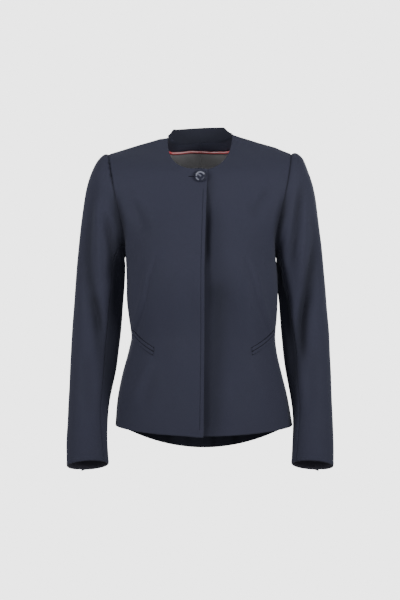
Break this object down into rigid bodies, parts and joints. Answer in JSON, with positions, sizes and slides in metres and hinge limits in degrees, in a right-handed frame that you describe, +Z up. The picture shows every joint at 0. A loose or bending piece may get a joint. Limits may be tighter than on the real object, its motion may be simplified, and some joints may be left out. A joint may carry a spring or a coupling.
{
  "type": "suit jacket",
  "caption": "Collarless tailored suit jacket with a concealed front, slanted welt pockets and set-in sleeves, filled out as worn.",
  "frame": {"origin": "where the wearer holds it: midway between the two points where the shoulder seams meet the neckline", "axes": "+Z up, -Y the way the wearer faces, +X the wearer's left"},
  "size_m": [0.5404, 0.2679, 0.7069],
  "materials": {
    "cloth": "matt navy wool-blend suiting, finely woven",
    "facing": "the same suiting in the shade inside the neck, hem and cuffs",
    "lining": "smooth grey lining with a soft sheen",
    "piping": "red satin piping",
    "button": "polished marbled navy"
  },
  "bodies": {
    "root": {"front_right": "cloth", "front_left": "cloth", "back_right": "cloth", "back_left": "cloth", "neck_stand": "cloth", "upper_sleeve_right": "cloth", "upper_sleeve_left": "cloth", "under_sleeve_right": "cloth", "under_sleeve_left": "cloth", "welt_upper_right": "cloth", "welt_upper_left": "cloth", "welt_lower_right": "cloth", "welt_lower_left": "cloth", "neck_facing": "facing", "back_hem_turn_up": "facing", "cuff_turn_up_right": "facing", "cuff_turn_up_left": "facing", "back_lining": "lining", "neck_piping": "piping", "button": "button"}
  },
  "joints": []
}
